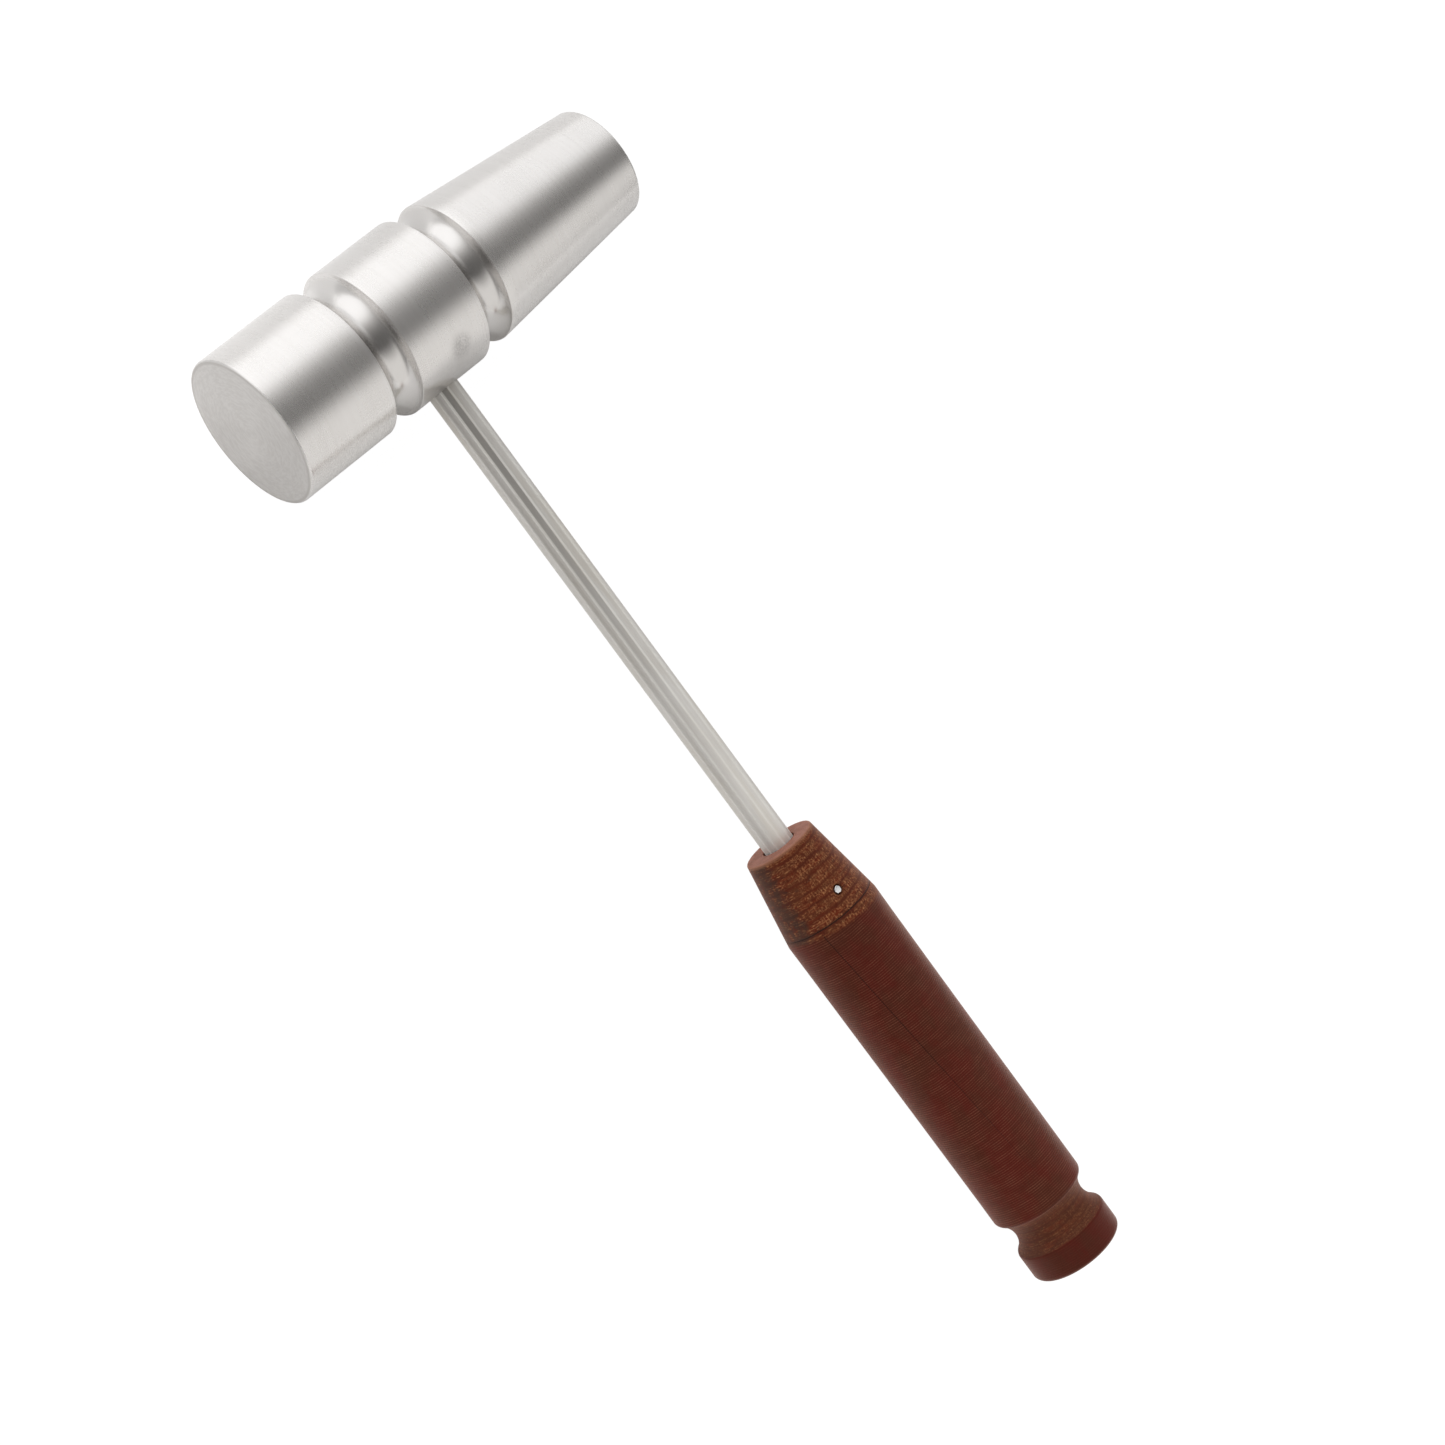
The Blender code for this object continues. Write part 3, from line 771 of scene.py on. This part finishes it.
def make_handle(finish):
    turns = handle_turns()
    grip_first, grip_last = CONE_LENGTH - 0.4 * MM, GRIP_END
    waves = [(random.uniform(40, 130), random.randint(1, 3), random.uniform(0, 6.28)) for _ in range(5)]
    rings, seam = [], []
    for station, radius in handle_profile():
        along = min(1.0, max(0.0, (station - CONE_LENGTH) / (SEAM_FADE - CONE_LENGTH)))
        seam_turn = SEAM_START + (SEAM_END - SEAM_START) * along
        on_grip = grip_first < station < grip_last and radius > GRIP_RADIUS_REAR - 0.02 * MM
        strength = (1.0 - 0.8 * along**2) if on_grip and station < SEAM_FADE else 0.0
        ring = []
        for offset in turns:
            turn = seam_turn + offset
            away = min(offset, 2 * math.pi - offset)
            groove = max(0.0, 1.0 - away / SEAM_HALF_TURN) * strength
            lift = 0.0
            if on_grip:
                # On one side of the seam the skin dips a little, so that the sheet's edge stands proud
                lift = -SHEET_EDGE_LIFT * strength * math.exp(-offset / SHEET_EDGE_SPREAD)
                edge = min(station - grip_first, grip_last - station) / GRIP_SWELL_FADE
                swell = sum(math.sin(k * station + n * turn + p) for k, n, p in waves) / len(waves)
                lift += GRIP_SWELL * (swell - 1.0) * min(1.0, max(0.0, edge))
            r = radius + lift - SEAM_DEPTH * groove
            ring.append((HANDLE_START + station, SHAFT_Y + r * math.sin(turn), SHAFT_Z + r * math.cos(turn)))
            seam.append(groove)
        rings.append(ring)
    handle = skin("mallet_handle", rings, finish, math.radians(50.0))
    marks = handle.data.attributes.new("seam", "FLOAT", "POINT")
    marks.data.foreach_set("value", seam)

    hole = [pin_ring(z, PIN_RADIUS + PIN_HOLE_PLAY) for z in (-GRIP_RADIUS, GRIP_RADIUS)]
    cut_away(handle, skin("pin_hole_cutter", hole, finish, math.radians(40.0)))
    return handle


def make_pin(finish):
    """Pin whose two ends are peened: slightly domed, with an uneven rim."""
    lobes = [(random.uniform(0.02, 0.06), k, random.uniform(0, 6.28)) for k in (2, 3, 5, 7)]

    def rim(turn, end):
        return 1.0 - 0.12 + sum(a * math.sin(k * turn + p + 2.0 * end) for a, k, p in lobes) * 0.7

    crown = [(1.0, 0.0), (0.97, 0.05), (0.88, 0.09), (0.6, 0.115), (0.25, 0.12)]
    rings = []
    levels = [(-1, size, drop) for size, drop in reversed(crown)] + [(1, size, drop) for size, drop in crown]
    for end, size, drop in levels:
        radii = [PIN_RADIUS * size * min(1.0, rim(turn, end)) for turn in turns_of(PIN_STEPS)]
        rings.append(pin_ring(end * (PIN_HALF - PIN_CROWN + drop * MM), radii))
    return skin("mallet_pin", rings, finish, math.radians(60.0))


# ---------------------------------------------------------------- build

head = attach(make_head(turned_steel()), "root")
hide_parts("head")

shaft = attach(make_shaft(drawn_steel()), "root")
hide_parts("shaft")

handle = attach(make_handle(cloth_laminate()), "root")
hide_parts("handle")

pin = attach(make_pin(pin_steel()), "root")
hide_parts("cross_pin")

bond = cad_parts["tang_bond"]
bond.data.materials.clear()
bond.data.materials.append(set_adhesive())


# ---------------------------------------------------------------- floor, light and camera

KNOB_FLOOR = SHAFT_Z - KNOB_RADIUS
FLOOR_SLOPE = math.atan2(KNOB_FLOOR, grip_high.x - HEAD_X)
FLOOR_HALF = 4.0
FLOOR_GAP = 0.02 * MM
FLOOR_GLOW = 0.15
FLOOR_SEEN = 1.075


def make_floor():
    """Pale seamless table, tipped so that the head and the knob both rest on it."""
    made, tree, shader = new_material("pale_table")
    x, y, z = place(tree, (0.0, 0.0, 0.0))
    mottle = noise(tree, vector(tree, x, y, z), 0.02, 3.0, 0.5)
    tint = blend(tree, mottle, (0.90, 0.90, 0.90), (0.93, 0.93, 0.93))
    tree.links.new(tint, shader.inputs["Base Color"])
    shader.inputs["Roughness"].default_value = 0.9
    shader.inputs["Specular IOR Level"].default_value = 0.2
    shader.inputs["Emission Color"].default_value = (1.0, 1.0, 1.0, 1.0)
    seen = tree.nodes.new("ShaderNodeLightPath")
    # The table gives light of its own, most on the left and none under the head's right side;
    # x is counted from the head's axis
    left = x.step(6.0, -16.0) * y.step(-50.0, -42.0) * (y.step(-30.0, 20.0) * -0.15 + 0.28)
    contact = x.step(2.0, 8.0) * x.step(25.0, 20.0)
    right = x.step(27.0, 34.0) * x.step(70.0, 48.0)
    glow = left + (x.step(-80.0, -200.0) * 0.35) + (contact * -FLOOR_GLOW) + (right * 0.035)
    glow = glow + FLOOR_GLOW
    tree.links.new(glow.socket, shader.inputs["Emission Strength"])
    plain = tree.nodes.new("ShaderNodeEmission")
    plain.inputs["Strength"].default_value = FLOOR_SEEN
    mix = tree.nodes.new("ShaderNodeMixShader")
    tree.links.new((Field(tree, seen.outputs["Is Camera Ray"]) * 0.90).socket, mix.inputs[0])
    tree.links.new(shader.outputs[0], mix.inputs[1])
    tree.links.new(plain.outputs[0], mix.inputs[2])
    tree.links.new(mix.outputs[0], tree.nodes["Material Output"].inputs["Surface"])
    mesh = bpy.data.meshes.new("table")
    bm = bmesh.new()
    bmesh.ops.create_grid(bm, x_segments=1, y_segments=1, size=FLOOR_HALF)
    bm.to_mesh(mesh)
    bm.free()
    mesh.materials.append(made)
    floor = bpy.data.objects.new("table", mesh)
    floor.location = (HEAD_X, 0.0, -FLOOR_GAP)
    floor.rotation_euler = (0.0, -FLOOR_SLOPE, 0.0)
    bpy.context.scene.collection.objects.link(floor)


# Light of the studio by the sideways part of its direction: a bright wall on the left, a dark
# ceiling, and a dim right side in front of which the soft panel hangs
STUDIO = [
    (-1.0, 1.42), (-0.81, 1.45), (-0.67, 1.38), (-0.58, 1.16), (-0.5, 0.87), (-0.4, 0.58),
    (-0.3, 0.385), (-0.15, 0.215), (0.0, 0.15), (0.3, 0.13), (0.6, 0.25), (1.0, 0.5),
]
STUDIO_PEAK = 1.5


def make_studio():
    world = bpy.data.worlds.new("studio")
    world.use_nodes = True
    tree = world.node_tree
    tree.nodes.clear()
    out = tree.nodes.new("ShaderNodeOutputWorld")
    back = tree.nodes.new("ShaderNodeBackground")
    source = tree.nodes.new("ShaderNodeTexCoord")
    split = tree.nodes.new("ShaderNodeSeparateXYZ")
    tree.links.new(source.outputs["Generated"], split.inputs[0])
    dx, dy, dz = (Field(tree, socket) for socket in split.outputs)
    sideways = dx / (dy * dy * -0.5 + 1.0).op("SQRT") - (dy.step(0.46, 0.62) * 0.19)
    ramp = tree.nodes.new("ShaderNodeValToRGB")
    tree.links.new((sideways * 0.5 + 0.5).socket, ramp.inputs[0])
    elements = ramp.color_ramp.elements
    for i, (side, light) in enumerate(STUDIO):
        element = elements[i] if i < 2 else elements.new(1.0)
        element.position = (side + 1) / 2
        level = light / STUDIO_PEAK
        dim = 1.0 - level
        element.color = (level, level * (1.003 - 0.03 * dim), level * (1.012 - 0.068 * dim), 1.0)
    tree.links.new(ramp.outputs[0], back.inputs["Color"])
    strength = (dy.step(0.44, 0.60) * -0.24 + 1.0) * STUDIO_PEAK
    tree.links.new(strength.socket, back.inputs["Strength"])
    tree.links.new(back.outputs[0], out.inputs["Surface"])
    bpy.context.scene.world = world


PANEL_NEAR = Vector((-30.0, 0.0, 265.0)) * MM
PANEL_FAR = Vector((620.0, 0.0, -20.0)) * MM
PANEL_HALF = 0.48
PANEL_FADE = 155.0
PANEL_LIGHT = 0.94


def make_panel():
    """Soft panel above and to the right, fading out towards its near edge and its two sides."""
    made = bpy.data.materials.new("soft_panel")
    made.use_nodes = True
    tree = made.node_tree
    tree.nodes.clear()
    out = tree.nodes.new("ShaderNodeOutputMaterial")
    glow = tree.nodes.new("ShaderNodeEmission")
    through = tree.nodes.new("ShaderNodeBsdfTransparent")
    mix = tree.nodes.new("ShaderNodeMixShader")
    x, y, z = place(tree, (0.0, 0.0, 0.0))
    near = x.step(PANEL_NEAR.x / MM, PANEL_NEAR.x / MM + PANEL_FADE)
    sides = y.op("ABSOLUTE").step(PANEL_HALF / MM, PANEL_HALF / MM - PANEL_FADE)
    tree.links.new((near * sides).socket, mix.inputs[0])
    tree.links.new(through.outputs[0], mix.inputs[1])
    tree.links.new(glow.outputs[0], mix.inputs[2])
    glow.inputs["Color"].default_value = (1.0, 0.985, 0.965, 1.0)
    glow.inputs["Strength"].default_value = PANEL_LIGHT
    tree.links.new(mix.outputs[0], out.inputs["Surface"])
    mesh = bpy.data.meshes.new("soft_panel")
    side = Vector((0.0, PANEL_HALF, 0.0))
    corners = [PANEL_NEAR - side, PANEL_NEAR + side, PANEL_FAR + side, PANEL_FAR - side]
    mesh.from_pydata(corners, [], [(0, 1, 2, 3)])
    mesh.materials.append(made)
    panel = bpy.data.objects.new("soft_panel", mesh)
    bpy.context.scene.collection.objects.link(panel)
    panel.visible_camera = False
    panel.visible_shadow = False


def make_camera():
    data = bpy.data.cameras.new("camera")
    data.sensor_width = 36.0
    data.lens = CAMERA_LENS
    data.shift_x, data.shift_y = CAMERA_SHIFT
    data.clip_start = 0.01
    data.clip_end = 20.0
    camera = bpy.data.objects.new("camera", data)
    back = CAMERA_RIGHT.cross(CAMERA_UP)
    turned = Matrix((CAMERA_RIGHT, CAMERA_UP, back)).transposed().to_4x4()
    camera.matrix_world = Matrix.Translation(CAMERA_PLACE) @ turned
    bpy.context.scene.collection.objects.link(camera)
    bpy.context.scene.camera = camera


make_floor()
make_studio()
make_panel()
make_camera()
bpy.context.scene.view_settings.view_transform = "Standard"
